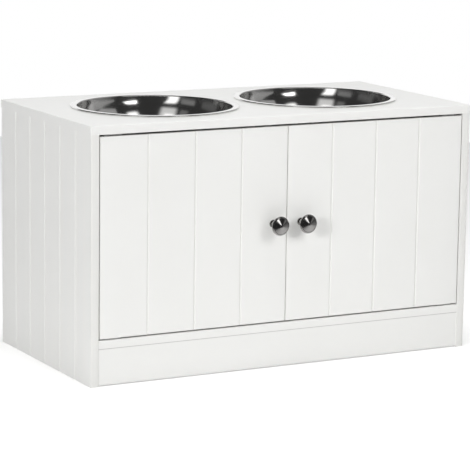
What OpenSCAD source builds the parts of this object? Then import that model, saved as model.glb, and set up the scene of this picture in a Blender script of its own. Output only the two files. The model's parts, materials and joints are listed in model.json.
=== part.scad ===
// Elevated dog feeder with storage: a two-door cabinet whose top holds two lift-out bowls.
// Millimetres. X runs along the doors, the doors face -Y, Z is up, and the floor is Z = 0.
// The origin is the middle of the whole object's footprint, knobs included.

/* [Cabinet] */
// Width of the top panel
cab_w = 600; // [540:10:700]
// Depth of the top panel
cab_d = 310; // [290:5:360]
// Height of the top surface above the floor
cab_h = 356; // [300:2:450]
// Thickness of every painted board
board_t = 12; // [12:1:15]
// How far the top panel stands past the sides, front and back
top_overhang = 1; // [0.5:0.5:4]
// Radius worked on the exposed edges of the boards
arris_r = 1; // [0.5:0.25:1.5]
// Height of the bottom panel's underside above the floor
plinth_h = 52; // [45:1:70]
// Gap between the kickboards and the floor
kick_lift = 2; // [1:0.5:4]
// How far the front kickboard stands back from the doors
kick_setback = 1; // [0.5:0.5:5]
// Thickness of the back panel
back_t = 3; // [2.5:0.5:4]

/* [Doors] */
// Gap between each door and the side panel beside it
side_gap = 1.5; // [1.5:0.1:2]
// Gap between the two doors
meeting_gap = 1; // [0.8:0.1:2]
// Gap between the doors and the top panel
top_gap = 3; // [3:0.1:3.5]
// Gap between the doors and the bottom panel
bottom_gap = 2; // [1.8:0.1:2.4]

/* [Plank grooves] */
// Planks that each door appears to be made of
door_planks = 4; // [2:1:6]
// Planks that each side appears to be made of
side_planks = 6; // [3:1:8]
// Width of a groove at the face of the board
groove_w = 3; // [2:0.5:4]
// Depth of a groove
groove_deep = 1.5; // [1:0.25:2]

/* [Bowls] */
// Outside radius of the rolled rim
bowl_rim_r = 119; // [105:1:122]
// Inside radius of the bowl's wall
bowl_r = 110; // [95:1:112]
// Height of the bowl from its base to the top of its rim
bowl_h = 66; // [50:1:80]
// Distance between the centres of the bowls
bowl_pitch = 260; // [256:1:280]
// Angle at which the wall leans outwards at the rim, in degrees
bowl_lean = 4; // [2:1:10]
// Inside radius of the wall's own curve, from the rim downwards
bowl_wall_r = 80; // [75:5:95]
// Inside radius of the tighter curve between the wall and the base
bowl_corner_r = 45; // [40:1:48]
// Thickness of the steel sheet
sheet_t = 1; // [0.8:0.1:1.5]
// Clearance between a bowl's wall and its cut-out
cutout_play = 2; // [1:0.5:3]

/* [Knobs] */
// Radius of the knob's head
knob_r = 13.5; // [11:0.5:16]
// How far a knob stands out of its door
knob_reach = 26.5; // [21:0.5:30]
// Slope of the knob's conical face, in degrees
knob_slope = 15; // [5:1:20]
// Distance from the knob's centre to the middle of the cabinet
knob_x = 22; // [20:1:40]
// Height of the knobs above the middle of the doors
knob_lift = 2; // [-40:1:40]

/* [Hinges] */
// Thickness of a hinge leaf
leaf_t = 1.2; // [1:0.1:1.2]
// Width of a hinge leaf
leaf_w = 11; // [9:0.5:11]
// Length of a leaf from the pivot to its square end
leaf_reach = 20.5; // [20:0.5:26]
// Distance from the pivot to the door's edge
pivot_in = 12; // [12:0.5:14]
// Radius of the pivot pin
pin_r = 2; // [1.5:0.1:2.4]
// Radial clearance of the pin in its leaf
pin_play = 0.05; // [0.02:0.01:0.1]

/* [Catches] */
// Distance from a catch's centre to the middle of the cabinet
catch_x = 34; // [32:1:60]
// Length of a catch's housing
catch_w = 30; // [26:1:34]
// Depth of a catch's housing
catch_d = 14; // [12:1:16]
// Height of a catch's housing
catch_h = 12; // [11:1:14]

/* [Fasteners] */
// Radius of a cam lock
cam_r = 6; // [5:0.5:6.5]
// Distance from a joint face to the centre of its cam lock
cam_reach = 24; // [20:1:30]
// Radius of a dowel
dowel_r = 3; // [2.5:0.5:4]
// Length of a dowel
dowel_len = 26; // [24:1:30]

/* [Hidden] */

$fn = 64;
eps = 0.01;          // overshoot that keeps a cutter clear of the face it cuts
paint = "#f1f1ee";
steel = "#c9c9c6";
nickel = "#6e6c69";
zinc = "#a9abad";
grey_plastic = "#d8d8d5";
magnet_black = "#2b2b2c";
beech = "#d9b98a";
hardboard = "#e9e9e5";

// Main planes of the cabinet
body_w = cab_w - 2 * top_overhang;
body_d = cab_d - 2 * top_overhang;
front_y = (knob_reach - body_d - top_overhang) / 2;
back_y = front_y + body_d;
mid_y = front_y + body_d / 2;
under_z = cab_h - board_t;
floor_z = plinth_h + board_t;
inner_x = body_w / 2 - board_t;
side_mid_x = body_w / 2 - board_t / 2;
rebate_w = board_t / 2;
rebate_play = 0.2;
back_groove = 4;

// Doors
door_w = inner_x - side_gap - meeting_gap / 2;
door_x0 = inner_x - side_gap;
door_z0 = floor_z + bottom_gap;
door_h = under_z - top_gap - door_z0;
door_back_y = front_y + board_t;

// Hinges: the upper leaves lie on the boards, and the lower ones are let in to fill the narrower gap
leaf_gap = 0.6;
ring_h = 0.5;
ring_r = 4;
pivot_x = door_x0 - pivot_in;
pivot_y = front_y + board_t / 2;
let_in = (2 * leaf_t + leaf_gap - bottom_gap) / 2;
screw_at = [9, 16.5];
leaf_corner = 1.5;

// Screws: head radius, shank radius, length
hinge_screw = [2.5, 1.25, 9];
arm_screw = [2.5, 1.25, 14];
catch_screw = [3, 1.5, 9];
strike_screw = [2.6, 1.3, 9];
back_screw = [3, 1.4, 12];
screw_play = 0.05;
cross_w = 0.7;

// Knobs
foot_r = 5.5;
foot_h = 1.6;
waist_r = 3.9;
waist_z = 5;
rim_z = knob_reach - 6;
rim_h = 2.6;
rim_round = 1.2;
flare_top_r = knob_r - rim_round;
flare_r = (pow(flare_top_r - waist_r, 2) + pow(rim_z - waist_z, 2)) / (2 * (flare_top_r - waist_r));
ledge_r = knob_r - 1.8;
face_r = ledge_r - 0.6;
tip_r = 10;
tip_edge_r = tip_r * sin(knob_slope);
tip_edge_z = knob_reach - tip_r * (1 - cos(knob_slope));
face_z = tip_edge_z - (face_r - tip_edge_r) * tan(knob_slope);
ledge_z = face_z - 0.4;
knob_thread_r = 2;
knob_thread_in = 9;
knob_hole_r = 2.3;
knob_screw_head_r = 4;
knob_screw_head_h = 2.4;

// Catches
catch_front_y = door_back_y + 2;
catch_pole_t = 1;
catch_wall = 2;
catch_ear = 9;
catch_ear_t = 3;
strike_size = [30, 1, 10];
strike_z = under_z - catch_h / 2 - 2.5;

// Panel fittings
cam_deep = 9.5;
bolt_r = 2.5;
bolt_in = 8;
cam_y = [front_y + 42, back_y - 42];
dowel_y = [front_y + 74, back_y - 74];
dowel_in = 9;
kick_y = [front_y + kick_setback + board_t / 2, back_y - board_t / 2];
kick_cam_z = 34;
kick_dowel_z = 15;
floor_mid_z = plinth_h + board_t / 2;

// Bowls
bead_r = 1.2;
bead_sink = 0.2;
lip_r = 1.5;
base_step_h = 1.2;
rim_top_z = cab_h + 2 * bead_r - bead_sink;
base_z = rim_top_z - bowl_h;
bead_x = bowl_rim_r - bead_r;
cutout_r = bowl_r + sheet_t + cutout_play;

// Centres of the arcs that a bowl's wall is made of: its own curve, the corner tangent to it, and the lip
wall_at = [bowl_r - bowl_wall_r * cos(bowl_lean), rim_top_z + bowl_wall_r * sin(bowl_lean)];
corner_z = base_z + sheet_t + bowl_corner_r;
join_angle = asin((wall_at[1] - corner_z) / (bowl_wall_r - bowl_corner_r));
corner_at = [wall_at[0] + (bowl_wall_r - bowl_corner_r) * cos(join_angle), corner_z];
lip_z = rim_top_z - lip_r;
lip_angle = asin((wall_at[1] - lip_z) / (bowl_wall_r + lip_r));
lip_at = [wall_at[0] + (bowl_wall_r + lip_r) * cos(lip_angle), lip_z];
base_step_r = corner_at[0] - 6;

// ---- Shapes that repeat ----

// A board seen from above, with its four upright edges rounded
module board_outline(w, d, r = arris_r) {
  translate([r, 0]) square([w - 2 * r, d]);
  translate([0, r]) square([w, d - 2 * r]);
  for (x = [r, w - r], y = [r, d - r])
    translate([x, y]) circle(r);
}

// What a rounding plane takes off an edge that runs along +X at the origin, solid towards +Y and -Z
module edge_cutter(len, r = arris_r) {
  difference() {
    translate([-1, -1, -r]) cube([len + 2, 1 + r, 1 + r]);
    translate([-2, r, -r]) rotate([0, 90, 0]) cylinder(r = r, h = len + 4);
  }
}

// Rounds both long edges of a board's top end, which is at z = 0 between y = 0 and y = t
module round_top_end(len, t) {
  edge_cutter(len);
  translate([len, t, 0]) rotate([0, 0, 180]) edge_cutter(len);
}

// V-shaped plank grooves along Z in a face at y = 0, between x = 0 and x = w
module plank_grooves(w, h, planks) {
  for (i = [1 : planks - 1])
    translate([i * w / planks, 0, -1])
      linear_extrude(height = h + 2)
        polygon([[-groove_w / 2 - eps, -eps], [groove_w / 2 + eps, -eps], [0, groove_deep]]);
}

// Countersunk screw, head face at z = 0, point towards +Z; size is [head radius, shank radius, length]
module countersunk_screw(size) {
  cone_h = size[0] - size[1];
  difference() {
    rotate_extrude()
      polygon([[0, 0], [size[0], 0], [size[1], cone_h], [size[1], size[2] - 2], [0, size[2]]]);
    cross_recess(size[0]);
  }
}

// The hole that such a screw seats in
module countersunk_hole(size) {
  cone_h = size[0] - size[1];
  rotate_extrude()
    polygon([
      [0, -eps], [size[0] + 2 * screw_play, -eps], [size[0] + 2 * screw_play, 0],
      [size[1] + screw_play, cone_h + screw_play], [size[1] + screw_play, size[2] + 0.5], [0, size[2] + 0.5]
    ]);
}

// Screw with a low domed head standing on z = 0, shank towards +Z
module pan_screw(size, head_h) {
  dome_r = size[0] * 1.65;
  difference() {
    union() {
      cylinder(r = size[1], h = size[2]);
      intersection() {
        translate([0, 0, -head_h]) cylinder(r = size[0], h = head_h);
        translate([0, 0, dome_r - head_h]) sphere(r = dome_r);
      }
    }
    translate([0, 0, -head_h]) cross_recess(size[0]);
  }
}

// Cross-shaped driver recess in a head whose face is at z = 0
module cross_recess(head_r) {
  for (a = [0, 90])
    rotate([0, 0, a])
      translate([-head_r * 0.55, -cross_w / 2, -eps]) cube([head_r * 1.1, cross_w, head_r * 0.32]);
}

// Cam bolt: screwed into the board at z < 0, its head in the cam lock at z = cam_reach
module cam_bolt() {
  rotate_extrude()
    polygon([
      [0, -bolt_in], [bolt_r - 0.6, -bolt_in], [bolt_r, -bolt_in + 1.2], [bolt_r, cam_reach - 6.5],
      [bolt_r - 1, cam_reach - 5.5], [bolt_r - 1, cam_reach - 1.5], [bolt_r, cam_reach - 0.7],
      [bolt_r, cam_reach + 0.8], [bolt_r - 0.8, cam_reach + 2], [0, cam_reach + 2]
    ]);
}

// Holes for a cam bolt in both boards
module cam_bolt_hole() {
  translate([0, 0, -bolt_in - 0.5]) cylinder(r = bolt_r + screw_play, h = bolt_in + 1);
  translate([0, 0, -eps]) cylinder(r = bolt_r + 0.2, h = cam_reach + 2.5);
}

// Cam lock: its face is at x = 0 and it sinks towards +X; the bolt comes down from +Z at the board's middle
module cam_lock() {
  head_room = 2 * bolt_r + 0.6;
  neck_room = 2 * bolt_r - 1.4;
  difference() {
    rotate([0, 90, 0]) cylinder(r = cam_r - 0.1, h = cam_deep);
    translate([board_t / 2 - head_room / 2, -head_room / 2, -2.4]) cube([head_room, head_room, 4.2]);
    translate([board_t / 2 - neck_room / 2, -neck_room / 2, 0]) cube([neck_room, neck_room, cam_r + 1]);
    for (a = [0, 90])
      rotate([a, 0, 0]) translate([-eps, -cam_r * 0.6, -0.6]) cube([1.6, cam_r * 1.2, 1.2]);
  }
}

// Pocket that a cam lock turns in
module cam_pocket() {
  translate([-eps, 0, 0]) rotate([0, 90, 0]) cylinder(r = cam_r, h = cam_deep + eps);
}

// Dowel across a joint face at z = 0, dowel_in deep in the board below it
module dowel() {
  bevel = 0.8;
  translate([0, 0, -dowel_in])
    rotate_extrude()
      polygon([
        [0, 0], [dowel_r - bevel, 0], [dowel_r, bevel],
        [dowel_r, dowel_len - bevel], [dowel_r - bevel, dowel_len], [0, dowel_len]
      ]);
}

module dowel_hole() {
  translate([0, 0, -dowel_in - 0.4]) cylinder(r = dowel_r + screw_play, h = dowel_len + 0.8);
}

// Places, as modules that hold whatever stands there

// On the left side panel's top edge, +Z running down into the side
module at_top_joints(ys) {
  for (y = ys) translate([-side_mid_x, y, under_z]) rotate([180, 0, 0]) children();
}

// On the left side panel's inner face at the bottom panel, +Z running into the bottom panel
module at_floor_joints(ys) {
  for (y = ys) translate([-inner_x, y, floor_mid_z]) rotate([0, 90, 0]) children();
}

// On the left side panel's inner face at the ends of both kickboards, +Z running into them
module at_kick_joints(z) {
  for (y = kick_y) translate([-inner_x, y, z]) rotate([0, 90, 0]) children();
}

// Both halves of something drawn on the left
module both_sides() {
  children();
  mirror([1, 0, 0]) children();
}

// ---- Cabinet boards ----

module hinge_plate_holes(upper) {
  z = upper ? under_z - leaf_t : floor_z + leaf_t - let_in;
  for (s = screw_at)
    translate([-pivot_x + s, pivot_y, z]) rotate([upper ? 0 : 180, 0, 0]) countersunk_hole(hinge_screw);
}

module top_panel() {
  color(paint)
    difference() {
      translate([-cab_w / 2, front_y - top_overhang, under_z])
        linear_extrude(height = board_t) board_outline(cab_w, cab_d, 2);
      top_edge_roundings();
      for (side = [-1, 1])
        translate([side * bowl_pitch / 2, mid_y, under_z - 1])
          cylinder(r = cutout_r, h = board_t + 2, $fn = 128);
      translate([-inner_x - rebate_w, back_y - back_t - rebate_play, under_z - eps])
        cube([2 * (inner_x + rebate_w), back_t + rebate_play, back_groove + eps]);
      both_sides() {
        at_top_joints(cam_y) cam_bolt_hole();
        at_top_joints(dowel_y) dowel_hole();
        hinge_plate_holes(true);
        at_catch_screws() countersunk_hole([catch_screw[1], catch_screw[1], catch_screw[2]]);
      }
    }
}

// Rounds the top panel's four upper edges
module top_edge_roundings() {
  translate([-cab_w / 2, front_y - top_overhang, cab_h]) edge_cutter(cab_w);
  translate([cab_w / 2, back_y + top_overhang, cab_h]) rotate([0, 0, 180]) edge_cutter(cab_w);
  translate([-cab_w / 2, back_y + top_overhang, cab_h]) rotate([0, 0, -90]) edge_cutter(cab_d);
  translate([cab_w / 2, front_y - top_overhang, cab_h]) rotate([0, 0, 90]) edge_cutter(cab_d);
}

module side_panel() {
  color(paint)
    difference() {
      translate([-body_w / 2, front_y, 0])
        linear_extrude(height = under_z) board_outline(board_t, body_d);
      translate([-body_w / 2, back_y, 0]) rotate([0, 0, -90]) plank_grooves(body_d, under_z, side_planks);
      translate([-inner_x - rebate_w, back_y - back_t - rebate_play, plinth_h])
        cube([rebate_w + 1, back_t + rebate_play + 1, under_z]);
      at_top_joints(cam_y) cam_bolt_hole();
      at_top_joints(dowel_y) dowel_hole();
      for (y = cam_y) translate([-inner_x, y, under_z - cam_reach]) rotate([0, 0, 180]) cam_pocket();
      at_floor_joints(cam_y) cam_bolt_hole();
      at_floor_joints(dowel_y) dowel_hole();
      at_kick_joints(kick_cam_z) cam_bolt_hole();
      at_kick_joints(kick_dowel_z) dowel_hole();
      at_back_screws_left() cylinder(r = back_screw[1] + screw_play, h = back_screw[2] + 0.5);
    }
}

module left_side_panel() {
  side_panel();
}

module right_side_panel() {
  mirror([1, 0, 0]) side_panel();
}

module bottom_panel() {
  depth = body_d - back_t;
  color(paint)
    difference() {
      translate([-inner_x, front_y, plinth_h]) cube([2 * inner_x, depth, board_t]);
      translate([-inner_x, front_y, floor_z]) edge_cutter(2 * inner_x);
      both_sides() {
        at_floor_joints(cam_y) cam_bolt_hole();
        at_floor_joints(dowel_y) dowel_hole();
        for (y = cam_y) translate([-inner_x + cam_reach, y, plinth_h]) rotate([0, -90, 0]) cam_pocket();
        translate([-pivot_x, pivot_y, floor_z - let_in])
          linear_extrude(height = 2) leaf_outline(screw_play);
        hinge_plate_holes(false);
      }
      at_back_screws_bottom() cylinder(r = back_screw[1] + screw_play, h = back_screw[2] + 0.5);
    }
}

// A kickboard whose middle plane is at y; its cam locks open towards the inside of the plinth
module kickboard(y, inward) {
  color(paint)
    difference() {
      translate([-inner_x, y - board_t / 2, kick_lift]) cube([2 * inner_x, board_t, plinth_h - kick_lift]);
      both_sides() {
        at_kick_joints(kick_cam_z) cam_bolt_hole();
        at_kick_joints(kick_dowel_z) dowel_hole();
        translate([-inner_x + cam_reach, y + inward * board_t / 2, kick_cam_z])
          rotate([0, 0, -inward * 90]) cam_pocket();
      }
    }
}

module front_kickboard() {
  kickboard(kick_y[0], 1);
}

module rear_kickboard() {
  kickboard(kick_y[1], -1);
}

module back_panel() {
  play = 0.15;
  half_w = inner_x + rebate_w - play;
  color(hardboard)
    difference() {
      translate([-half_w, back_y - back_t, plinth_h + play])
        cube([2 * half_w, back_t, under_z + back_groove - play - plinth_h - play]);
      both_sides() at_back_screws_left() translate([0, 0, -back_t - 1])
        cylinder(r = back_screw[1] + screw_play, h = back_t + 2);
      at_back_screws_bottom() translate([0, 0, -back_t - 1])
        cylinder(r = back_screw[1] + screw_play, h = back_t + 2);
    }
}

// Screws of the back panel, at its front face, +Z running forwards into the boards
module at_back_screws_left() {
  for (z = [floor_z + 35, (floor_z + under_z) / 2, under_z - 35])
    translate([-inner_x - rebate_w / 2, back_y - back_t, z]) rotate([90, 0, 0]) children();
}

module at_back_screws_bottom() {
  for (x = [-inner_x * 2 / 3, 0, inner_x * 2 / 3])
    translate([x, back_y - back_t, floor_mid_z]) rotate([90, 0, 0]) children();
}

module back_panel_screws() {
  size = [back_screw[0], back_screw[1], back_screw[2] + back_t];
  color(zinc) {
    both_sides() at_back_screws_left() translate([0, 0, -back_t]) pan_screw(size, top_overhang);
    at_back_screws_bottom() translate([0, 0, -back_t]) pan_screw(size, top_overhang);
  }
}

// ---- Doors and their knobs ----

// The left door, with its planks, the seat of its lower hinge arm and its screw holes
module door() {
  color(paint)
    difference() {
      translate([-door_x0, front_y, door_z0])
        difference() {
          linear_extrude(height = door_h) board_outline(door_w, board_t);
          plank_grooves(door_w, door_h, door_planks);
          translate([0, 0, door_h]) round_top_end(door_w, board_t);
          translate([door_w, 0, 0]) rotate([0, 180, 0]) round_top_end(door_w, board_t);
        }
      translate([-pivot_x, pivot_y, door_z0 - 2])
        linear_extrude(height = 2 + let_in) leaf_outline(screw_play);
      hinge_arm_holes(true);
      hinge_arm_holes(false);
      at_knob() translate([0, 0, -board_t - 1]) cylinder(r = knob_hole_r, h = board_t + 2);
      at_strike() countersunk_hole(strike_screw);
    }
}

module hinge_arm_holes(upper) {
  z = upper ? door_z0 + door_h + leaf_t : door_z0 - leaf_t + let_in;
  for (s = screw_at)
    translate([-pivot_x + s, pivot_y, z]) rotate([upper ? 180 : 0, 0, 0]) countersunk_hole(arm_screw);
}

module left_door() {
  door();
}

module right_door() {
  mirror([1, 0, 0]) door();
}

// On the left door's front face at its knob, +Z running out of the door
module at_knob() {
  translate([-knob_x, front_y, door_z0 + door_h / 2 + knob_lift]) rotate([90, 0, 0]) children();
}

// Half section of a turned knob: a foot, a waist that flares into the head, a rim, a ledge, and a low cone
// with a rounded tip
module knob_profile() {
  square([foot_r, foot_h]);
  difference() {
    square([flare_top_r, rim_z]);
    translate([waist_r + flare_r, waist_z]) circle(flare_r, $fn = 96);
  }
  translate([0, rim_z]) square([knob_r - rim_round, rim_h]);
  translate([0, rim_z + rim_round]) square([knob_r, rim_h - 2 * rim_round]);
  for (z = [rim_z + rim_round, rim_z + rim_h - rim_round])
    translate([knob_r - rim_round, z]) circle(rim_round, $fn = 48);
  polygon([[0, rim_z + 1], [knob_r - rim_round, rim_z + rim_h], [ledge_r, ledge_z], [0, ledge_z]]);
  polygon([
    [0, rim_z + 1], [face_r, rim_z + 1], [face_r, face_z], [tip_edge_r, tip_edge_z], [0, tip_edge_z]
  ]);
  intersection() {
    translate([0, tip_edge_z - 1]) square([tip_edge_r, tip_r]);
    translate([0, knob_reach - tip_r]) circle(tip_r, $fn = 96);
  }
}

module knob() {
  color(nickel)
    difference() {
      rotate_extrude($fn = 96) knob_profile();
      translate([0, 0, -1]) cylinder(r = knob_thread_r + screw_play, h = knob_thread_in + 1.5);
    }
}

module left_knob() {
  at_knob() knob();
}

module right_knob() {
  mirror([1, 0, 0]) left_knob();
}

// Machine screw through the door into the knob
module knob_screw() {
  color(zinc)
    at_knob() translate([0, 0, -board_t])
      pan_screw([knob_screw_head_r, knob_thread_r, board_t + knob_thread_in], knob_screw_head_h);
}

module left_knob_screw() {
  knob_screw();
}

module right_knob_screw() {
  mirror([1, 0, 0]) knob_screw();
}

// ---- Pivot hinges ----

// Outline of a leaf, pivot at the origin, running along +X
module leaf_outline(play = 0) {
  w = leaf_w + 2 * play;
  r = leaf_corner;
  end = leaf_reach + play;
  circle(w / 2);
  translate([0, -w / 2]) square([end - r, w]);
  translate([0, -w / 2 + r]) square([end, w - 2 * r]);
  for (y = [-w / 2 + r, w / 2 - r]) translate([end - r, y]) circle(r);
}

// Fixed leaf, its screw heads and bearing ring on the side that faces down
module hinge_plate() {
  color(zinc)
    difference() {
      union() {
        translate([0, 0, -leaf_t]) linear_extrude(height = leaf_t) leaf_outline();
        translate([0, 0, -leaf_t - ring_h]) cylinder(r = ring_r, h = ring_h + eps);
      }
      translate([0, 0, -leaf_t - ring_h - 1]) cylinder(r = pin_r + pin_play, h = leaf_t + ring_h + 2);
      for (s = screw_at) translate([s, 0, -leaf_t]) countersunk_hole(hinge_screw);
    }
}

// Moving leaf with the riveted pin standing up from it
module hinge_arm() {
  pin_h = leaf_gap + leaf_t - 0.1;
  color(zinc)
    difference() {
      union() {
        linear_extrude(height = leaf_t) leaf_outline();
        translate([0, 0, leaf_t - eps]) cylinder(r = pin_r, h = pin_h + eps);
      }
      for (s = screw_at) translate([s, 0, leaf_t]) rotate([180, 0, 0]) countersunk_hole(arm_screw);
    }
}

module at_upper_pivot() {
  translate([-pivot_x, pivot_y, under_z]) children();
}

module at_lower_pivot() {
  translate([-pivot_x, pivot_y, floor_z - let_in]) mirror([0, 0, 1]) children();
}

module at_upper_arm() {
  translate([-pivot_x, pivot_y, door_z0 + door_h]) children();
}

module at_lower_arm() {
  translate([-pivot_x, pivot_y, door_z0 + let_in]) mirror([0, 0, 1]) children();
}

module left_upper_hinge_plate() {
  at_upper_pivot() hinge_plate();
}

module left_lower_hinge_plate() {
  at_lower_pivot() hinge_plate();
}

module right_upper_hinge_plate() {
  mirror([1, 0, 0]) left_upper_hinge_plate();
}

module right_lower_hinge_plate() {
  mirror([1, 0, 0]) left_lower_hinge_plate();
}

module left_upper_hinge_arm() {
  at_upper_arm() hinge_arm();
}

module left_lower_hinge_arm() {
  at_lower_arm() hinge_arm();
}

module right_upper_hinge_arm() {
  mirror([1, 0, 0]) left_upper_hinge_arm();
}

module right_lower_hinge_arm() {
  mirror([1, 0, 0]) left_lower_hinge_arm();
}

module plate_screws() {
  for (s = screw_at) translate([s, 0, -leaf_t]) countersunk_screw(hinge_screw);
}

module arm_screws() {
  for (s = screw_at) translate([s, 0, leaf_t]) rotate([180, 0, 0]) countersunk_screw(arm_screw);
}

module hinge_plate_screws() {
  color(zinc)
    both_sides() {
      at_upper_pivot() plate_screws();
      at_lower_pivot() plate_screws();
    }
}

module left_hinge_arm_screws() {
  color(zinc) {
    at_upper_arm() arm_screws();
    at_lower_arm() arm_screws();
  }
}

module right_hinge_arm_screws() {
  mirror([1, 0, 0]) left_hinge_arm_screws();
}

// ---- Magnetic catches ----

// At the front of the left catch, under the top panel, +Y running into the cabinet
module at_catch() {
  translate([-catch_x, catch_front_y, under_z - catch_h]) children();
}

module at_catch_screws() {
  for (side = [-1, 1])
    translate([-catch_x + side * (catch_w + catch_ear) / 2, catch_front_y + catch_d / 2, under_z])
      children();
}

module catch_housing() {
  room = 0.1;
  inside = [catch_w - 4 * catch_wall, catch_d - catch_wall, catch_h - 2 * catch_wall];
  color(grey_plastic)
    difference() {
      at_catch() {
        translate([-catch_w / 2, 0, 0]) cube([catch_w, catch_d, catch_h]);
        for (side = [-1, 1])
          translate([side * (catch_w + catch_ear) / 2, catch_d / 2, catch_h - catch_ear_t]) {
            cylinder(r = catch_ear / 2, h = catch_ear_t);
            translate([-side * catch_ear / 4 - catch_ear / 4, -catch_ear / 2, 0])
              cube([catch_ear / 2, catch_ear, catch_ear_t]);
          }
      }
      at_catch() translate([-inside[0] / 2 - room, -1, catch_wall])
        cube([inside[0] + 2 * room, inside[1] + 1, inside[2]]);
      at_catch_screws() translate([0, 0, -catch_ear_t - 1])
        cylinder(r = catch_screw[1] + 0.15, h = catch_ear_t + 2);
    }
}

module catch_magnet() {
  size = [catch_w - 4 * catch_wall, catch_d - catch_wall - 1,
    catch_h - 2 * catch_wall - 2 * catch_pole_t];
  color(magnet_black)
    at_catch() translate([-size[0] / 2, 1, catch_wall + catch_pole_t]) cube(size);
}

// The two steel plates that carry the pull to the strike plate
module catch_poles() {
  size = [catch_w - 4 * catch_wall, catch_d - catch_wall + 0.9, catch_pole_t];
  color(steel)
    at_catch()
      for (z = [catch_wall, catch_h - catch_wall - catch_pole_t])
        translate([-size[0] / 2, -0.9, z]) cube(size);
}

module left_catch_housing() {
  catch_housing();
}

module right_catch_housing() {
  mirror([1, 0, 0]) catch_housing();
}

module left_catch_magnet() {
  catch_magnet();
}

module right_catch_magnet() {
  mirror([1, 0, 0]) catch_magnet();
}

module left_catch_poles() {
  catch_poles();
}

module right_catch_poles() {
  mirror([1, 0, 0]) catch_poles();
}

module catch_screws() {
  color(zinc)
    both_sides()
      at_catch_screws() translate([0, 0, -catch_ear_t])
        pan_screw([catch_screw[0], catch_screw[1], catch_screw[2] + catch_ear_t], 1.8);
}

// On the left door's back face at its strike plate, +Z running forwards into the door
module at_strike() {
  translate([-catch_x, door_back_y + strike_size[1], strike_z]) rotate([90, 0, 0]) children();
}

module strike_plate() {
  color(zinc)
    at_strike()
      difference() {
        linear_extrude(height = strike_size[1])
          translate([-strike_size[0] / 2, -strike_size[2] / 2])
            board_outline(strike_size[0], strike_size[2], 2);
        countersunk_hole(strike_screw);
      }
}

module left_strike_plate() {
  strike_plate();
}

module right_strike_plate() {
  mirror([1, 0, 0]) strike_plate();
}

module left_strike_screw() {
  color(zinc) at_strike() countersunk_screw(strike_screw);
}

module right_strike_screw() {
  mirror([1, 0, 0]) left_strike_screw();
}

// ---- Fittings that hold the boards together ----

module top_cam_bolts() {
  color(zinc) both_sides() at_top_joints(cam_y) cam_bolt();
}

module top_cam_locks() {
  color(zinc)
    both_sides()
      for (y = cam_y) translate([-inner_x, y, under_z - cam_reach]) rotate([0, 0, 180]) cam_lock();
}

module bottom_cam_bolts() {
  color(zinc) both_sides() at_floor_joints(cam_y) cam_bolt();
}

module bottom_cam_locks() {
  color(zinc)
    both_sides()
      for (y = cam_y)
        translate([-inner_x + cam_reach, y, plinth_h]) rotate([0, -90, 0]) cam_lock();
}

module kickboard_cam_bolts() {
  color(zinc) both_sides() at_kick_joints(kick_cam_z) cam_bolt();
}

module kickboard_cam_locks() {
  color(zinc)
    both_sides()
      for (i = [0, 1]) {
        inward = i == 0 ? 1 : -1;
        translate([-inner_x + cam_reach, kick_y[i] + inward * board_t / 2, kick_cam_z])
          rotate([0, 0, -inward * 90]) rotate([inward * 90, 0, 0]) cam_lock();
      }
}

module top_dowels() {
  color(beech) both_sides() at_top_joints(dowel_y) dowel();
}

module bottom_dowels() {
  color(beech) both_sides() at_floor_joints(dowel_y) dowel();
}

module kickboard_dowels() {
  color(beech) both_sides() at_kick_joints(kick_dowel_z) dowel();
}

// ---- Bowls ----

// Half section of the space inside a bowl, grown by some thickness, up to a height
module bowl_half(grown, top_z) {
  join_z = wall_at[1] - (bowl_wall_r + grown) * sin(join_angle);
  floor_at = corner_z - bowl_corner_r - grown;
  intersection() {
    translate(wall_at) circle(bowl_wall_r + grown, $fn = 144);
    translate([0, join_z]) square([bowl_rim_r, top_z - join_z]);
  }
  intersection() {
    translate(corner_at) circle(bowl_corner_r + grown, $fn = 96);
    translate([0, floor_at]) square([bowl_rim_r, corner_z - floor_at]);
  }
  translate([0, floor_at]) square([corner_at[0], corner_z - floor_at]);
}

// Half section of a spun steel bowl: a flange, a rolled bead that rests on the top panel, a wall that curves
// in, and a base whose middle is pressed up
module bowl_profile() {
  difference() {
    union() {
      difference() {
        bowl_half(sheet_t, rim_top_z);
        bowl_half(0, rim_top_z + 1);
      }
      translate([bowl_r, rim_top_z - sheet_t]) square([bead_x - bowl_r, sheet_t]);
      translate([bead_x, rim_top_z - bead_r]) circle(bead_r);
      translate([0, base_z + sheet_t]) base_step();
    }
    translate([0, base_z]) base_step();
    translate([-1, base_z - 1]) square([base_step_r + 1, 1]);
    translate([bead_x - 2 * bead_r, cab_h - 1]) square([4 * bead_r, 1]);
    lip_cutter();
  }
}

// What the rounding between the flange and the wall takes away
module lip_cutter() {
  tangent_z = lip_z + lip_r * sin(lip_angle);
  difference() {
    translate([bowl_r - 2, tangent_z]) square([lip_at[0] - bowl_r + 2, rim_top_z + 1 - tangent_z]);
    translate(lip_at) circle(lip_r);
  }
}

// The height by which the middle of the base is pressed up
module base_step() {
  polygon([[0, 0], [base_step_r, 0], [base_step_r - base_step_h, base_step_h], [0, base_step_h]]);
}

module bowl() {
  color(steel) rotate_extrude($fn = 128) bowl_profile();
}

module left_bowl() {
  translate([-bowl_pitch / 2, mid_y, 0]) bowl();
}

module right_bowl() {
  translate([bowl_pitch / 2, mid_y, 0]) bowl();
}

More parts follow.
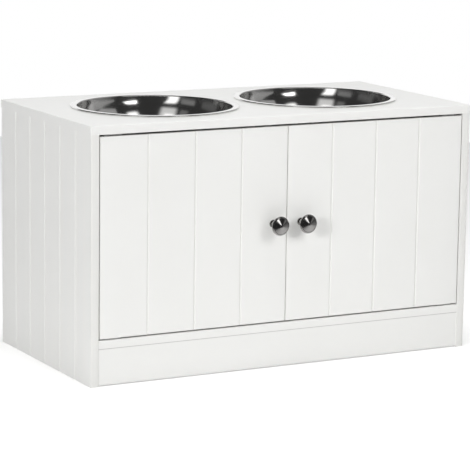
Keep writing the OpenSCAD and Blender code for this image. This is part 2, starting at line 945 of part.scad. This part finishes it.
top_panel();
left_side_panel();
right_side_panel();
bottom_panel();
front_kickboard();
rear_kickboard();
back_panel();
left_door();
right_door();
left_knob();
right_knob();
left_knob_screw();
right_knob_screw();
left_upper_hinge_plate();
left_lower_hinge_plate();
right_upper_hinge_plate();
right_lower_hinge_plate();
left_upper_hinge_arm();
left_lower_hinge_arm();
right_upper_hinge_arm();
right_lower_hinge_arm();
hinge_plate_screws();
left_hinge_arm_screws();
right_hinge_arm_screws();
left_catch_housing();
right_catch_housing();
left_catch_magnet();
right_catch_magnet();
left_catch_poles();
right_catch_poles();
catch_screws();
left_strike_plate();
right_strike_plate();
left_strike_screw();
right_strike_screw();
top_cam_bolts();
top_cam_locks();
bottom_cam_bolts();
bottom_cam_locks();
kickboard_cam_bolts();
kickboard_cam_locks();
top_dowels();
bottom_dowels();
kickboard_dowels();
back_panel_screws();
left_bowl();
right_bowl();
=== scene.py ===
# Looks of an elevated dog feeder with storage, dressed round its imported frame.
# Metres, +Z up, the doors face -Y and the floor is Z = 0.
import json
import math

import bmesh
import bpy
import numpy as np
from mathutils import Matrix, Vector

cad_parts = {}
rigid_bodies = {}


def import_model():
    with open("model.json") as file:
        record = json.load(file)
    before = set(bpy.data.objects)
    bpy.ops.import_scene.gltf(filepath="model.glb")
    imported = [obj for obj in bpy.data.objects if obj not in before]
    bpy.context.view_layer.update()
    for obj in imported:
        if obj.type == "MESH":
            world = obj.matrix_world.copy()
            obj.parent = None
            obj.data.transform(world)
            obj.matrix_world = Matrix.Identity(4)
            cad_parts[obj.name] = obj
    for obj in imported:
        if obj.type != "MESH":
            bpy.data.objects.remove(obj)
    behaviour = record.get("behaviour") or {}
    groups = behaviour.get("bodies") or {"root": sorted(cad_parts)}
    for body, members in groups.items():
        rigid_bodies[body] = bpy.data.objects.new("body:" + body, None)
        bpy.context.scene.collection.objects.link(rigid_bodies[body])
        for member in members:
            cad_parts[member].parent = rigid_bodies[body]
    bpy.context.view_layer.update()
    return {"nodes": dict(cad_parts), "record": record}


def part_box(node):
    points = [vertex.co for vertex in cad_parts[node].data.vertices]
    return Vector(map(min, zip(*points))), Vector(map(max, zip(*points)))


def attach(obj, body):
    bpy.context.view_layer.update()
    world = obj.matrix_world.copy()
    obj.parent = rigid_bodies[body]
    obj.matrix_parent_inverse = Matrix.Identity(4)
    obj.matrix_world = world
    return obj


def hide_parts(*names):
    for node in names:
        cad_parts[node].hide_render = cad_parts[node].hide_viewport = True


for leftover in list(bpy.data.objects):    # a new file may start with a cube, a lamp and a camera
    bpy.data.objects.remove(leftover)

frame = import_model()
nodes = frame["nodes"]
mm = 0.001


# Camera, solved from the straight edges and the bowls in the photograph
viewpoint = {
    "place": (-1.5998, -2.9755, 0.7850),
    "heading": 28.179,    # degrees from +Y towards +X
    "down": 10.417,       # degrees below the horizon
    "roll": 0.787,        # degrees, anticlockwise
    "focal": 182.03,      # mm
    "sensor": 36,         # mm wide
}


def placeCamera(v):
    data = bpy.data.cameras.new("camera")
    data.sensor_width = v["sensor"]
    data.lens = v["focal"]
    camera = bpy.data.objects.new("camera", data)
    bpy.context.scene.collection.objects.link(camera)
    heading, down, roll = (math.radians(v[key]) for key in ("heading", "down", "roll"))
    camera.matrix_world = (
        Matrix.Translation(v["place"])
        @ Matrix.Rotation(-heading, 4, "Z")
        @ Matrix.Rotation(math.pi / 2 - down, 4, "X")
        @ Matrix.Rotation(roll, 4, "Z")
    )
    bpy.context.scene.camera = camera


placeCamera(viewpoint)
print("camera placed")


# A shader socket that takes Python's operators: each one adds a Math node to the material
class Wire:
    def __init__(self, finish, socket):
        self.finish = finish
        self.socket = socket

    def maths(self, operation, *values):
        return self.finish.node("Math", {"operation": operation}, dict(enumerate(values)))

    def __add__(self, other):
        return self.maths("ADD", self, other)

    def __sub__(self, other):
        return self.maths("SUBTRACT", self, other)

    def __rsub__(self, other):
        return self.maths("SUBTRACT", other, self)

    def __mul__(self, other):
        return self.maths("MULTIPLY", self, other)

    def __truediv__(self, other):
        return self.maths("DIVIDE", self, other)

    def __pow__(self, other):
        return self.maths("POWER", self, other)

    def __abs__(self):
        return self.maths("ABSOLUTE", self)

    __radd__ = __add__
    __rmul__ = __mul__

    # 0 below the low edge, 1 above the high edge, smooth between; the edges may be given either way round
    def between(self, low, high):
        settings = {"interpolation_type": "SMOOTHSTEP"}
        values = {"Value": self, "From Min": low, "From Max": high}
        return self.finish.node("MapRange", settings, values)


# A material being made, with one method for every kind of node
class Finish:
    def __init__(self, name, tree=None):
        if tree is None:
            self.material = bpy.data.materials.new(name)
            self.material.use_nodes = True
            tree = self.material.node_tree
        self.tree = tree
        self.tree.nodes.clear()

    # A node of any type: its settings first, then values or wires for its sockets; gives one output
    def node(self, kind, settings=None, values=None, out=0):
        made = self.tree.nodes.new("ShaderNode" + kind)
        for key, value in (settings or {}).items():
            setattr(made, key, value)
        for key, value in (values or {}).items():
            if isinstance(value, Wire):
                self.tree.links.new(value.socket, made.inputs[key])
            else:
                made.inputs[key].default_value = value
        return Wire(self, made.outputs[out]) if made.outputs else None

    def objectSpace(self):
        return self.node("TexCoord", out="Object")

    # Object coordinates moved so that a centre becomes the origin, then stretched along each axis
    def centred(self, centre, stretch=(1, 1, 1)):
        moved = self.node("VectorMath", {"operation": "SUBTRACT"}, {0: self.objectSpace(), 1: centre})
        return self.node("VectorMath", {"operation": "MULTIPLY"}, {0: moved, 1: stretch})

    def axis(self, vector, name):
        return self.node("SeparateXYZ", None, {0: vector}, out=name)

    def noise(self, scale, detail=2.0, vector=None):
        values = {"Vector": vector or self.objectSpace(), "Scale": scale, "Detail": detail}
        return self.node("TexNoise", None, values)

    def mixed(self, amount, first, second):
        return self.node("Mix", {"data_type": "RGBA"}, {0: amount, 6: first, 7: second}, out=2)

    def bump(self, height, distance, under=None):
        values = {"Height": height, "Distance": distance, "Strength": 1.0}
        if under is not None:
            values["Normal"] = under
        return self.node("Bump", None, values)

    def shaded(self, **values):
        shader = self.node("BsdfPrincipled", None, {key.replace("_", " "): v for key, v in values.items()})
        self.node("OutputMaterial", None, {"Surface": shader})
        return self.material


def rgb(red, green, blue):
    return (red, green, blue, 1)


# In this and the other looks, values that end in Scale are noise scales, per metre
paintLook = {
    "colour": rgb(0.862, 0.862, 0.846),
    "shaded": rgb(0.835, 0.833, 0.812),    # where the coat lies thin or thick
    # painted shade in the grooves
    "grooveShade": rgb(0.80, 0.797, 0.775),
    # painted shade in the seam between the bottom panel and the kickboard
    "seamShade": rgb(0.50, 0.497, 0.483),
    "doorGapShade": rgb(0.40, 0.395, 0.38),      # painted shade on the doors' edges, standing in for the shade in the gaps round them
    "tintStrength": 0.8,                   # of the last three colours
    "roughness": 0.36,
    "tintRoughness": 0.12,                 # added where a tint is
    "patchScale": 9,
    "sheenScale": 70,
    "peelSize": 1.6 * mm,
    "peelHeight": 0.012 * mm,
    "waveSize": 45 * mm,
    "waveHeight": 0.05 * mm,
}


# Satin white paint, sprayed on fibreboard: orange peel and slow waves. Its tints are painted shade, in the
# grooves, on the doors' edges in the gaps round them and in the front seam. Each tint is a mask, which gives
# a wire that is 1 at the places it is for, and the darker colour painted there
def paintedBoard(name, *tints):
    look = paintLook
    f = Finish(name)
    patches = f.noise(look["patchScale"], 3).between(0.35, 0.75)
    colour = f.mixed(patches * 0.35, look["colour"], look["shaded"])
    roughness = look["roughness"] + (f.noise(look["sheenScale"], 2) - 0.5) * 0.10
    for mask, tint in tints:
        inside = mask(f)
        colour = f.mixed(inside * look["tintStrength"], colour, tint)
        roughness = roughness + inside * look["tintRoughness"]
    wave = f.bump(f.noise(1 / look["waveSize"], 1), look["waveHeight"])
    peel = f.bump(f.noise(1 / look["peelSize"], 2), look["peelHeight"], under=wave)
    return f.shaded(Base_Color=colour, Roughness=roughness, Normal=peel, IOR=1.48)


steelLook = {
    "colour": rgb(0.78, 0.775, 0.762),
    "darkBand": rgb(0.72, 0.715, 0.702),
    "roughness": 0.09,
    "lineSize": 0.35 * mm,
    "lineHeight": 0.0012 * mm,
    "bandScale": 160,
    "smearScale": 28,
}


# Polished spun steel. The lines run round the bowl, so they are noise of radius and height alone
def spunSteel(name, centre):
    look = steelLook
    f = Finish(name)
    local = f.centred(centre)
    x, y, z = (f.axis(local, name) for name in "XYZ")
    radius = (x * x + y * y) ** 0.5
    acrossLines = f.node("CombineXYZ", None, {0: radius, 1: z, 2: 0.0})
    lines = f.noise(1 / look["lineSize"], 3, vector=acrossLines)
    bands = f.noise(look["bandScale"], 2, vector=acrossLines)
    smears = f.noise(look["smearScale"], 3).between(0.45, 0.8)
    roughness = look["roughness"] + lines * 0.03 + smears * 0.05
    colour = f.mixed(bands * 0.5, look["colour"], look["darkBand"])
    normal = f.bump(lines, look["lineHeight"])
    return f.shaded(Base_Color=colour, Metallic=1.0, Roughness=roughness, Normal=normal)


knobLook = {
    "colour": rgb(0.40, 0.392, 0.384),
    "smeared": rgb(0.34, 0.333, 0.326),
    "roughness": 0.07,
    "ringScale": 2600,
    "ringHeight": 0.001 * mm,
    "smearScale": 170,
}


# Dark polished nickel with faint turning lines round the knob's axis and a few handling smears
def polishedNickel(name, centre):
    look = knobLook
    f = Finish(name)
    local = f.centred(centre)
    x, y, z = (f.axis(local, name) for name in "XYZ")
    radius = (x * x + z * z) ** 0.5
    acrossRings = f.node("CombineXYZ", None, {0: radius, 1: y, 2: 0.0})
    rings = f.noise(look["ringScale"], 2, vector=acrossRings)
    smears = f.noise(look["smearScale"], 3).between(0.4, 0.8)
    roughness = look["roughness"] + rings * 0.03 + smears * 0.06
    colour = f.mixed(smears * 0.4, look["colour"], look["smeared"])
    normal = f.bump(rings, look["ringHeight"])
    return f.shaded(Base_Color=colour, Metallic=1.0, Roughness=roughness, Normal=normal)


# A colour made darker by a factor
def darkened(colour, factor):
    return tuple(factor * part for part in colour[:3]) + (1,)


platingLook = {"crystalScale": 420.0, "scratchScale": 1500, "scratchHeight": 0.004 * mm}


# Zinc or bright plating on pressed steel: small crystal patches, and fine scratches or a fine grain
def platedMetal(name, colour, roughness, scratched=True):
    look = platingLook
    f = Finish(name)
    cells = {"Vector": f.objectSpace(), "Scale": look["crystalScale"]}
    patch = f.node("SeparateColor", None, {0: f.node("TexVoronoi", None, cells, out="Color")})
    tone = f.mixed(patch * 0.6, colour, darkened(colour, 0.82))
    drawn = f.centred((0, 0, 0), (1, 0.08, 0.08)) if scratched else None
    fine = f.noise(look["scratchScale"], 2, vector=drawn)
    rough = roughness + (patch - 0.5) * 0.12 + (fine - 0.5) * 0.1
    normal = f.bump(fine, look["scratchHeight"])
    return f.shaded(Base_Color=tone, Metallic=1.0, Roughness=rough, Normal=normal)


# Moulded plastic or pressed ferrite: an even colour broken by a fine grain
def grainedSolid(name, colour, roughness, grain, height):
    f = Finish(name)
    speck = f.noise(1 / grain, 3)
    tone = f.mixed(speck * 0.5, colour, darkened(colour, 0.86))
    rough = roughness + (speck - 0.5) * 0.15
    return f.shaded(Base_Color=tone, Roughness=rough, Normal=f.bump(speck, height))


beechLook = {
    "early": rgb(0.60, 0.42, 0.25),
    "late": rgb(0.74, 0.57, 0.37),
    "pore": rgb(0.42, 0.27, 0.15),
    "yearScale": 260,
    "poreScale": 1400,
    "poreDepth": 0.02 * mm,
}


# Turned beech: pores and year lines drawn out along Z
def beechWood(name):
    look = beechLook
    f = Finish(name)
    drawn = f.centred((0, 0, 0), (1, 1, 0.12))
    years = f.noise(look["yearScale"], 4, vector=drawn)
    pores = f.noise(look["poreScale"], 2, vector=drawn).between(0.6, 0.75)
    tone = f.mixed(years, look["early"], look["late"])
    tone = f.mixed(pores * 0.4, tone, look["pore"])
    normal = f.bump(pores, -look["poreDepth"])
    return f.shaded(Base_Color=tone, Roughness=0.62 - pores * 0.1, Normal=normal)


# Middle of a node's box
def middle(node):
    low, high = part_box(node)
    return tuple((low + high) / 2)


# Painted shade in the grooves of a board whose planks lie side by side along an axis
def grooves(node, axisName, planks):
    low, high = (getattr(corner, axisName.lower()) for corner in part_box(node))
    pitch = (high - low) / planks

    def mask(f):
        along = (f.axis(f.objectSpace(), axisName) - low) / pitch
        fraction = along.maths("FRACT", along)
        toGroove = 0.5 - abs(fraction - 0.5)
        return 1 - toGroove.between(0.0, boardLook["grooveShadeHalf"] / pitch)

    return mask, paintLook["grooveShade"]


# Painted shade on a door's edges, which lie deeper behind its face than the grooves; it stands in for the
# shade in the gaps round the door
def doorEdgeShade(node):
    low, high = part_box(node)

    def mask(f):
        y = f.axis(f.objectSpace(), "Y")
        behindFace = y.between(low.y + 1.6 * mm, low.y + 2.4 * mm)
        return behindFace * (1 - y.between(high.y - 1.0 * mm, high.y - 0.4 * mm))

    return mask, paintLook["doorGapShade"]


# Painted shade of the fine dark line on the front, where the bottom panel lies on the kickboard with no gap
def frontJoint():
    low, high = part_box("front_kickboard")

    def mask(f):
        y, z = (f.axis(f.objectSpace(), name) for name in "YZ")
        onFront = 1 - y.between(low.y + 0.5 * mm, low.y + 1.5 * mm)
        return onFront * (1 - abs(z - high.z).between(0.3 * mm, 0.9 * mm))

    return mask, paintLook["seamShade"]


boardLook = {
    "doorPlanks": 4,
    "sidePlanks": 6,
    "grooveHalf": 1.5 * mm,
    "grooveDeep": 1.5 * mm,
    "grooveShadeHalf": 2.2 * mm,   # half-width of the painted shade in a groove
    "softness": 0.16,       # of the groove's edges and bottom, in half-widths
    "grooveReach": 2.4,     # half-widths from a groove's middle that get more points
    "groovePoints": 29,
    "round": 0.6 * mm,      # radius of the upright edges and of the doors' ends
    "arcPoints": 6,
    "levels": 12,           # rings of points from the bottom of a board to its top
    "rebate": (3.2 * mm, 6 * mm),
}

finishes = {
    "painted_board": paintedBoard("paint"),
    "painted_hardboard": grainedSolid("painted_hardboard", rgb(0.85, 0.85, 0.835), 0.5, 1.2 * mm, 0.03 * mm),
    "hinge_zinc": platedMetal("hinge_zinc", rgb(0.74, 0.74, 0.73), 0.55),
    "fastener_zinc": platedMetal("fastener_zinc", rgb(0.66, 0.66, 0.65), 0.32, False),
    "plated_steel": platedMetal("plated_steel", rgb(0.68, 0.68, 0.67), 0.28),
    "catch_plastic": grainedSolid("catch_plastic", rgb(0.78, 0.78, 0.76), 0.45, 0.35 * mm, 0.01 * mm),
    "magnet": grainedSolid("magnet", rgb(0.045, 0.045, 0.047), 0.55, 0.25 * mm, 0.02 * mm),
    "beech": beechWood("beech"),
}
ownFinishes = {
    "left_side_panel": paintedBoard("paint_side", grooves("left_side_panel", "Y", boardLook["sidePlanks"])),
    "left_bowl": spunSteel("steel_left_bowl", middle("left_bowl")),
    "right_bowl": spunSteel("steel_right_bowl", middle("right_bowl")),
    "left_knob": polishedNickel("nickel_left_knob", middle("left_knob")),
    "right_knob": polishedNickel("nickel_right_knob", middle("right_knob")),
}
ownFinishes["right_side_panel"] = ownFinishes["left_side_panel"]
for door in ("left_door", "right_door"):
    doorGrooves = grooves(door, "X", boardLook["doorPlanks"])
    ownFinishes[door] = paintedBoard("paint_" + door, doorGrooves, doorEdgeShade(door))
for joined in ("front_kickboard", "bottom_panel"):
    ownFinishes[joined] = paintedBoard("paint_" + joined, frontJoint())


def dressNodes():
    slots = {part["node"]: part["material_slot"] for part in frame["record"]["subparts"]}
    for name, ob in nodes.items():
        material = ownFinishes.get(name) or finishes[slots[name]]
        ob.data.materials.clear()
        ob.data.materials.append(material)
        for polygon in ob.data.polygons:
            polygon.material_index = 0


dressNodes()
print("finishes on", len(nodes), "nodes")


def newPiece(name, points, faces, body, slot, replaced):
    mesh = bpy.data.meshes.new(name)
    mesh.from_pydata(points, [], faces)
    tidy = bmesh.new()
    tidy.from_mesh(mesh)
    bmesh.ops.remove_doubles(tidy, verts=tidy.verts, dist=1e-6)
    tidy.to_mesh(mesh)
    tidy.free()
    mesh.shade_smooth()
    mesh.set_sharp_from_angle(angle=math.radians(50))
    mesh.materials.append(ownFinishes[replaced])
    piece = bpy.data.objects.new(name, mesh)
    bpy.context.scene.collection.objects.link(piece)
    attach(piece, body)
    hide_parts(replaced)


# Angles of the points on a rounded edge, from 0 to a quarter turn
def quarterTurn():
    return np.radians(np.arange(boardLook["arcPoints"] + 1) * 90 / boardLook["arcPoints"])


# Outline of a grooved board seen from above, anticlockwise: its face runs along u at v = 0, and v is the
# depth. A groove's depth at t half-widths from its middle is deep (a + sqrt(a² + k²)) / 2, where
# a = 1 - sqrt(t² + k²). notch is 1 or -1 where the back corner at the end or the start of the face has a
# rebate, otherwise 0
def boardRing(width, thick, planks, notch=0):
    look = boardLook
    r, half, k = look["round"], look["grooveHalf"], look["softness"]
    middles = np.arange(1, planks) * width / planks
    reach = half * np.linspace(-look["grooveReach"], look["grooveReach"], look["groovePoints"])
    u = np.concatenate([np.linspace(r, width - r, 2 * planks + 1), (middles[:, None] + reach).ravel()])
    u.sort()
    a = 1 - np.sqrt(((u[:, None] - middles) / half) ** 2 + k * k)
    face = np.stack([u, look["grooveDeep"] * ((a + np.sqrt(a * a + k * k)) / 2).sum(1)], 1)
    turn = quarterTurn()[1:]
    arcs = []
    for i, centre in enumerate([(width - r, r), (width - r, thick - r), (r, thick - r), (r, r)]):
        angle = turn + (i - 1) * math.pi / 2
        arcs.append(np.array(centre) + r * np.stack([np.cos(angle), np.sin(angle)], 1))
    alongU, alongV = look["rebate"]
    if notch > 0:
        arcs[1][:] = (width - alongU, thick - alongV)
    if notch < 0:
        arcs[2][:] = (alongU, thick - alongV)
    right = [[(width, thick - alongV)], arcs[1], [(width - alongU, thick)]]
    left = [[(alongU, thick)], arcs[2], [(0, thick - alongV)]]
    return np.concatenate([face, arcs[0], *right, *left, arcs[3][:-1]])


# Surface through rings of points of equal number, one above the other, closed by a flat face at each end
def stackedRings(rings):
    levels, count = rings.shape[:2]
    start = np.arange(levels - 1)[:, None] * count + np.arange(count)
    after = np.arange(levels - 1)[:, None] * count + (np.arange(count) + 1) % count
    walls = np.stack([start, after, after + count, start + count], -1).reshape(-1, 4)
    last = (levels - 1) * count
    ends = [list(range(count))[::-1], list(range(last, last + count))]
    return rings.reshape(-1, 3).tolist(), walls.tolist() + ends


# A door: the ends are rounded too, by pulling the faces in by r (1 - sin t) at r (1 - cos t) from the end
def buildDoor(node, body):
    low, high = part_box(node)
    ring = boardRing(high.x - low.x, high.y - low.y, boardLook["doorPlanks"])
    rise = boardLook["round"] * (1 - np.cos(quarterTurn()))
    pull = boardLook["round"] * (1 - np.sin(quarterTurn()))
    between = np.linspace(low.z, high.z, boardLook["levels"])[1:-1]
    z = np.concatenate([low.z + rise, between, (high.z - rise)[::-1]])
    inset = np.concatenate([pull, 0 * between, pull[::-1]])[:, None]
    rings = np.empty((len(z), len(ring), 3))
    rings[..., 0] = low.x + ring[:, 0]
    rings[..., 1] = low.y + np.clip(ring[:, 1], inset, high.y - low.y - inset)
    rings[..., 2] = z[:, None]
    newPiece("soft_" + node, *stackedRings(rings), body, "painted_board", node)


# A side panel: the rebate for the back panel starts at the bottom panel's underside
def buildSide(node, outward):
    low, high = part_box(node)
    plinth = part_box("bottom_panel")[0].z
    long, thick = high.y - low.y, high.x - low.x
    plain = boardRing(long, thick, boardLook["sidePlanks"])
    rebated = boardRing(long, thick, boardLook["sidePlanks"], outward)
    below = np.linspace(0, plinth, 4)
    z = np.concatenate([below, np.linspace(plinth, high.z, boardLook["levels"])])
    upper = (np.arange(len(z)) >= len(below))[:, None, None]
    outline = np.where(upper, rebated, plain)
    rings = np.empty((len(z), len(plain), 3))
    rings[..., 0] = outward * (high.x if outward > 0 else -low.x) - outward * outline[..., 1]
    rings[..., 1] = low.y + outline[..., 0] if outward > 0 else high.y - outline[..., 0]
    rings[..., 2] = z[:, None]
    newPiece("soft_" + node, *stackedRings(rings), "cabinet", "painted_board", node)


buildDoor("left_door", "left_door")
buildDoor("right_door", "right_door")
buildSide("left_side_panel", -1)
buildSide("right_side_panel", 1)
print("doors and sides with soft grooves")


floorLook = {
    "radius": 2.2,
    "sides": 128,
    "colour": rgb(0.93, 0.93, 0.925),
    "fibres": rgb(0.92, 0.92, 0.915),
    "fibreScale": 220,
    "cameraLift": 0.35,
    "paperFront": (-0.80, -0.24),    # metal sees the paper only behind this fade, in metres along Y,
    "paperSides": (0.85, 0.55),      # and between these fades, in metres from the middle
}
# Strengths that the world has for the camera, for plain surfaces, and for metal where there's no panel
worldLook = {"camera": 1.0, "ambient": 0.21, "room": 0.035}
# What metal sees round the dim room in place of the lamps: flat panels, each with its corners in degrees
# (heading from +Y towards +X, height), the softness of its edges, and a strength that is added to the room's
panels = {
    "backdrop": {"corners": [(-25, -14), (50, -14), (50, 19), (-25, 19)], "soft": 0.06, "level": 0.965},
    "right_wall_near": {"corners": [(45, -4), (98, 2), (98, 20), (45, 20)], "soft": 0.08, "level": 0.13},
    "right_wall_low": {"corners": [(45, -6), (100, 1), (142, 5), (142, 13), (115, 14.4), (45, 14.4)],
                       "soft": 0.012, "level": 0.27},
    "right_wall_high": {"corners": [(45, 14.6), (115, 14.6), (140, 21.4), (140, 48), (45, 48)],
                        "soft": 0.012, "level": 0.33},
    "right_floor": {"corners": [(90, -40), (150, -40), (150, -6), (122, 2), (90, 0)],
                    "soft": 0.25, "level": 0.28},
    "front_lamp": {"corners": [(157, 12.5), (178, 11), (178, 17), (163, 16.8)], "soft": 0.03, "level": 3.0},
    "front_spot": {"corners": [(158, 33), (175, 33), (178, 48), (146, 48)], "soft": 0.06, "level": 1.5},
    "left_lamp": {"corners": [(221, 16.5), (239.5, 16), (244.5, 0.5), (232, -1)],
                  "soft": 0.045, "level": 1.5},
    "left_glow": {"corners": [(217.5, 25), (242, 25), (246, 48), (213, 48)], "soft": 0.06, "level": 0.68},
    "left_spot": {"corners": [(224, 38), (242, 38), (246, 50), (222, 50)], "soft": 0.06, "level": 0.8},
    "left_patch": {"corners": [(247, 6.5), (270, 6.5), (270, 15.5), (247, 15.5)],
                   "soft": 0.04, "level": 0.17},
    "left_upper_patch": {"corners": [(250, 27), (264, 27), (264, 46), (250, 46)],
                         "soft": 0.04, "level": 0.12},
    "left_wall": {"corners": [(283, 5), (315, 3), (315, 15), (283, 16)], "soft": 0.06, "level": 0.07},
    "ceiling": {"corners": [(0, 58), (90, 62), (180, 66), (270, 62)], "soft": 0.12, "level": 0.6},
}
# Soft boxes: direction from the object in degrees (heading from +Y towards +X, height), distance and size in
# metres, and the share of a white surface's full brightness that each gives where it strikes straight on
lamps = {
    "left_key": {"heading": 236, "height": 14, "distance": 3.0, "size": (0.6, 0.6), "level": 0.42},
    "front_lamp": {"heading": 165, "height": 26, "distance": 1.3, "size": (0.6, 0.6), "level": 0.255},
    "overhead": {"heading": 180, "height": 88, "distance": 2.2, "size": (1.2, 1.0), "level": 0.60},
}
lampsAim = Vector((0, 0.01, 0.2))    # the middle of the cabinet, that all of them face


def direction(heading, height):
    h, v = math.radians(heading), math.radians(height)
    return Vector((math.sin(h) * math.cos(v), math.cos(h) * math.cos(v), math.sin(v)))


def placeLamp(name, look):
    data = bpy.data.lights.new(name, "AREA")
    data.shape = "RECTANGLE"
    data.size, data.size_y = look["size"]
    # a lamp of power P lights a surface that faces it at distance d to P / (pi d)^2 of full white
    data.energy = look["level"] * (math.pi * look["distance"]) ** 2
    lamp = bpy.data.objects.new(name, data)
    lamp.visible_glossy = False    # metal sees the panels instead
    bpy.context.scene.collection.objects.link(lamp)
    aim = direction(look["heading"], look["height"])
    place = lampsAim + aim * look["distance"]
    lamp.matrix_world = Matrix.Translation(place) @ aim.to_track_quat("Z", "Y").to_matrix().to_4x4()


# Matt paper. The camera sees it a little brighter than it is, so that only the object's own shadow shows, and
# metal sees it end a little way in front of the doors and at the sides
def layFloor(look):
    around = np.linspace(0, 2 * np.pi, look["sides"] + 1)[:-1]
    rim = np.stack([np.cos(around), np.sin(around), 0 * around], 1) * look["radius"]
    mesh = bpy.data.meshes.new("floor")
    mesh.from_pydata(rim.tolist(), [], [list(range(len(rim)))])
    floor = bpy.data.objects.new("floor", mesh)
    bpy.context.scene.collection.objects.link(floor)
    f = Finish("floor_paper")
    grain = f.mixed(f.noise(look["fibreScale"], 2) * 0.2, look["colour"], look["fibres"])
    paper = f.node("BsdfDiffuse", None, {"Color": grain})
    seen = f.node("LightPath", out="Is Camera Ray")
    lift = f.node("Emission", None, {"Color": rgb(1, 1, 1), "Strength": seen * look["cameraLift"]})
    lit = f.node("AddShader", None, {0: paper, 1: lift})
    mirrored = f.node("LightPath", out="Is Glossy Ray")
    x, y = (f.axis(f.objectSpace(), name) for name in "XY")
    beyond = mirrored * (1 - y.between(*look["paperFront"]) * abs(x).between(*look["paperSides"]))
    ended = f.node("MixShader", None, {0: beyond, 1: lit, 2: f.node("BsdfTransparent")})
    f.node("OutputMaterial", None, {"Surface": ended})
    mesh.materials.append(f.material)


# The camera sees white. Metal sees the white backdrop behind the object and the other panels in a dim room.
# Everything else is lit evenly
def hangWorld(look):
    world = bpy.data.worlds.new("studio")
    world.use_nodes = True
    bpy.context.scene.world = world
    f = Finish("studio", world.node_tree)
    toSky = f.node("TexCoord", out="Generated")

    # 1 inside a panel, where the way to the sky lies on the inner side of the plane through each edge
    def inside(corners, soft):
        ways = [direction(*corner) for corner in corners]
        centre = sum(ways, Vector())
        share = 1
        for i, way in enumerate(ways):
            plane = way.cross(ways[i - 1]).normalized()
            if plane.dot(centre) < 0:
                plane = -plane
            pair = {0: toSky, 1: tuple(plane)}
            within = f.node("VectorMath", {"operation": "DOT_PRODUCT"}, pair, out="Value")
            share = within.between(-soft, soft) * share
        return share

    metalSees = look["room"]
    for panel in panels.values():
        metalSees = inside(panel["corners"], panel["soft"]) * panel["level"] + metalSees
    mirror = f.node("LightPath", out="Is Glossy Ray")
    glass = f.node("LightPath", out="Is Transmission Ray")
    camera = f.node("LightPath", out="Is Camera Ray")
    shiny = mirror.maths("MAXIMUM", mirror, glass)
    level = look["ambient"] * (1 - shiny) + metalSees * shiny
    level = level * (1 - camera) + camera * look["camera"]
    sky = f.node("Background", None, {"Color": rgb(1, 1, 1), "Strength": level})
    f.node("OutputWorld", None, {"Surface": sky})


for lampName, lampLook in lamps.items():
    placeLamp(lampName, lampLook)
layFloor(floorLook)
hangWorld(worldLook)
bpy.context.scene.view_settings.view_transform = "Standard"
print("studio lit by", len(lamps), "soft boxes")
